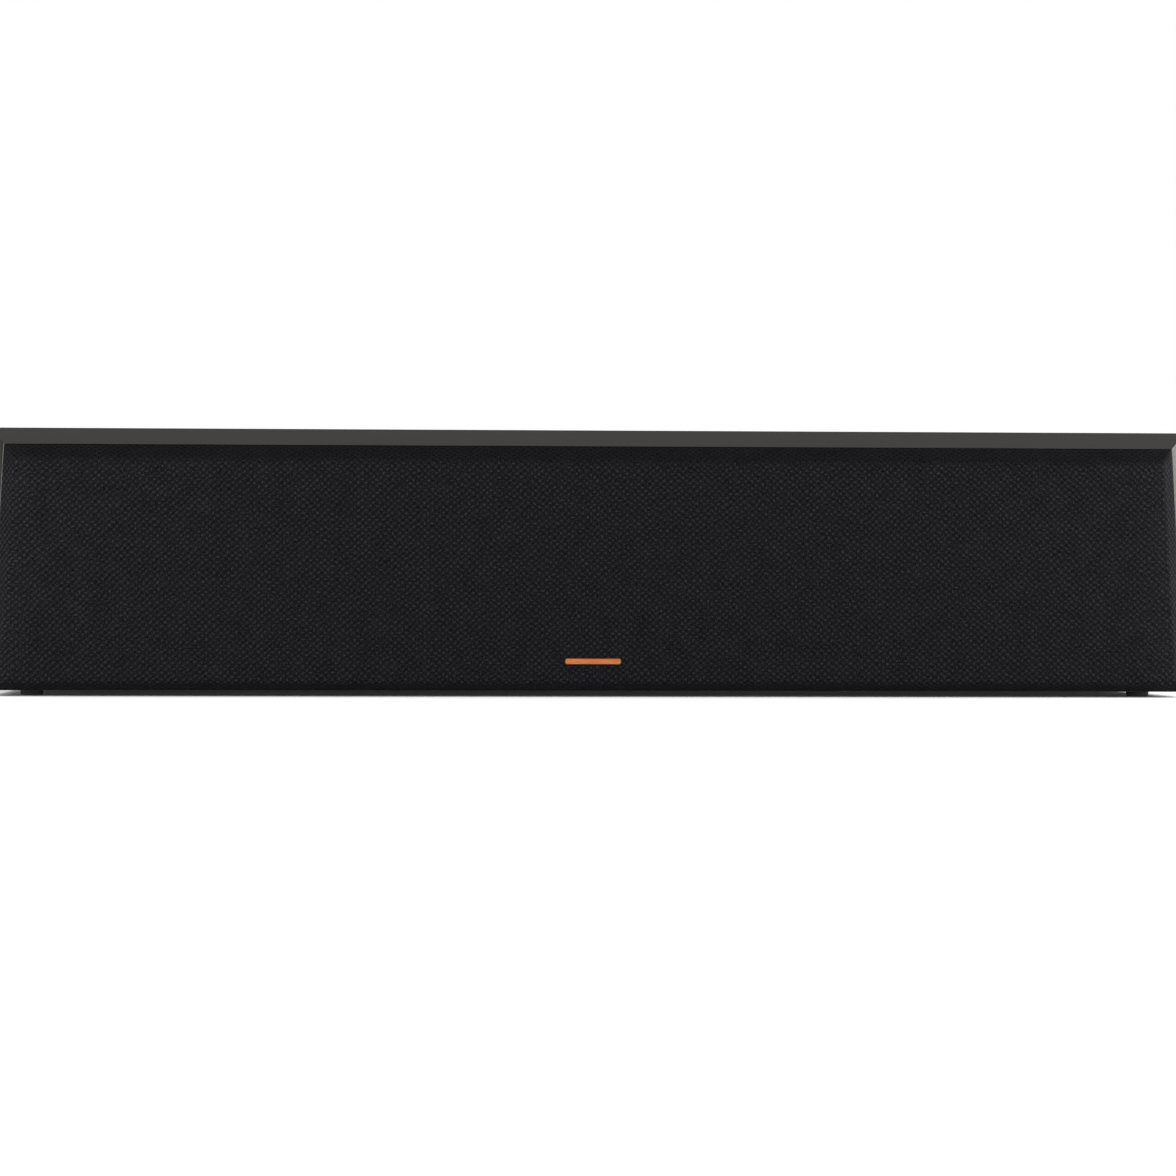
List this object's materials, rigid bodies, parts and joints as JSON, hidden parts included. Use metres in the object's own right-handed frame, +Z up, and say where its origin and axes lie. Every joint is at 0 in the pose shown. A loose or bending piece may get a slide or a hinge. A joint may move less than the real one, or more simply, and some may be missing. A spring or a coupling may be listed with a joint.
{
  "type": "center channel speaker",
  "caption": "Long low loudspeaker cabinet with a bevelled front, a pull-off cloth grille, copper-coned woofers beside a square horn tweeter, rear ports and binding posts.",
  "frame": {"origin": "on the floor under the middle of the speaker", "axes": "+X along the length, to the right seen from the front; the front faces -Y; +Z up"},
  "size_m": [0.846, 0.363, 0.188],
  "materials": {
    "black_vinyl": "black wood-grain vinyl wrap on fibreboard",
    "satin_black": "satin black painted fibreboard",
    "bare_fibreboard": "raw fibreboard",
    "wadding": "white polyester wadding",
    "foot_rubber": "matt grey rubber",
    "grille_plastic": "moulded, fine texture",
    "grille_cloth": "open black weave",
    "copper_badge": "brushed copper",
    "ferrite": "ground ferrite",
    "plated_steel": "zinc plated",
    "nickel_magnet": "nickel plated",
    "cast_basket": "black powder coat",
    "surround_rubber": "satin rubber",
    "copper_cone": "spun, copper anodised",
    "spider_cloth": "impregnated cotton",
    "coil_copper": "enamelled copper wire",
    "trim_plastic": "satin moulding",
    "horn_plastic": "satin moulding",
    "titanium": "pressed titanium",
    "cup_plastic": "fine texture",
    "gold_plate": "gold plated",
    "red_cap": "knurled moulding",
    "black_cap": "knurled moulding",
    "hardboard": "hardboard",
    "film_sleeve": "film sleeve",
    "cement": "cement block",
    "wire_sleeve": "soft sleeve",
    "black_screw": "black oxide"
  },
  "bodies": {
    "cabinet": {"top_panel": "black_vinyl", "bottom_panel": "black_vinyl", "left_panel": "black_vinyl", "right_panel": "black_vinyl", "rear_panel": "black_vinyl", "front_baffle": "satin_black", "cabinet_braces": "bare_fibreboard", "damping_pads": "wadding", "rubber_feet": "foot_rubber", "baffle_magnets": "nickel_magnet", "woofer_top_plates": "plated_steel", "woofer_magnets": "ferrite", "woofer_yokes": "plated_steel", "woofer_trim_rings": "trim_plastic", "tweeter_horn": "horn_plastic", "tweeter_phase_plug": "horn_plastic", "tweeter_diaphragm": "titanium", "tweeter_top_plate": "plated_steel", "tweeter_magnet": "ferrite", "tweeter_yoke": "plated_steel", "tweeter_rear_chamber": "cup_plastic", "terminal_cup": "cup_plastic", "binding_posts": "gold_plate", "jumper_straps": "gold_plate", "left_port_tube": "cup_plastic", "right_port_tube": "cup_plastic", "crossover_board": "hardboard", "crossover_inductors": "coil_copper", "crossover_capacitors": "film_sleeve", "crossover_resistors": "cement", "internal_wiring": "wire_sleeve", "mounting_screws": "black_screw", "woofer_1_basket": "cast_basket", "woofer_1_surround": "surround_rubber", "woofer_1_spider": "spider_cloth", "woofer_2_basket": "cast_basket", "woofer_2_surround": "surround_rubber", "woofer_2_spider": "spider_cloth", "woofer_3_basket": "cast_basket", "woofer_3_surround": "surround_rubber", "woofer_3_spider": "spider_cloth", "woofer_4_basket": "cast_basket", "woofer_4_surround": "surround_rubber", "woofer_4_spider": "spider_cloth"},
    "grille": {"grille_frame": "grille_plastic", "grille_cloth": "grille_cloth", "grille_badge": "copper_badge", "grille_magnets": "nickel_magnet"},
    "cone_1": {"woofer_1_cone": "copper_cone", "woofer_1_voice_coil": "coil_copper"},
    "cone_2": {"woofer_2_cone": "copper_cone", "woofer_2_voice_coil": "coil_copper"},
    "cone_3": {"woofer_3_cone": "copper_cone", "woofer_3_voice_coil": "coil_copper"},
    "cone_4": {"woofer_4_cone": "copper_cone", "woofer_4_voice_coil": "coil_copper"},
    "cap_upper_black": {"cap_upper_black": "black_cap"},
    "cap_upper_red": {"cap_upper_red": "red_cap"},
    "cap_lower_black": {"cap_lower_black": "black_cap"},
    "cap_lower_red": {"cap_lower_red": "red_cap"}
  },
  "joints": [
    {"name": "grille_pull", "type": "slide", "parent": "cabinet", "child": "grille", "axis": [0, -1, 0], "range_m": [0, 0.06]},
    {"name": "woofer_1_stroke", "type": "slide", "parent": "cabinet", "child": "cone_1", "axis": [0, -1, 0], "range_m": [-0.003, 0.003], "stiffness_N_per_m": 1000, "deforming": ["woofer_1_surround", "woofer_1_spider"]},
    {"name": "woofer_2_stroke", "type": "slide", "parent": "cabinet", "child": "cone_2", "axis": [0, -1, 0], "range_m": [-0.003, 0.003], "stiffness_N_per_m": 1000, "deforming": ["woofer_2_surround", "woofer_2_spider"]},
    {"name": "woofer_3_stroke", "type": "slide", "parent": "cabinet", "child": "cone_3", "axis": [0, -1, 0], "range_m": [-0.003, 0.003], "stiffness_N_per_m": 1000, "deforming": ["woofer_3_surround", "woofer_3_spider"]},
    {"name": "woofer_4_stroke", "type": "slide", "parent": "cabinet", "child": "cone_4", "axis": [0, -1, 0], "range_m": [-0.003, 0.003], "stiffness_N_per_m": 1000, "deforming": ["woofer_4_surround", "woofer_4_spider"]},
    {"name": "cap_upper_black_turn", "type": "hinge", "parent": "cabinet", "child": "cap_upper_black", "pos_m": [-0.015, 0.16, 0.1073], "axis": [0, 1, 0], "range_deg": [0, 720]},
    {"name": "cap_upper_red_turn", "type": "hinge", "parent": "cabinet", "child": "cap_upper_red", "pos_m": [0.015, 0.16, 0.1073], "axis": [0, 1, 0], "range_deg": [0, 720]},
    {"name": "cap_lower_black_turn", "type": "hinge", "parent": "cabinet", "child": "cap_lower_black", "pos_m": [-0.015, 0.16, 0.0733], "axis": [0, 1, 0], "range_deg": [0, 720]},
    {"name": "cap_lower_red_turn", "type": "hinge", "parent": "cabinet", "child": "cap_lower_red", "pos_m": [0.015, 0.16, 0.0733], "axis": [0, 1, 0], "range_deg": [0, 720]}
  ]
}
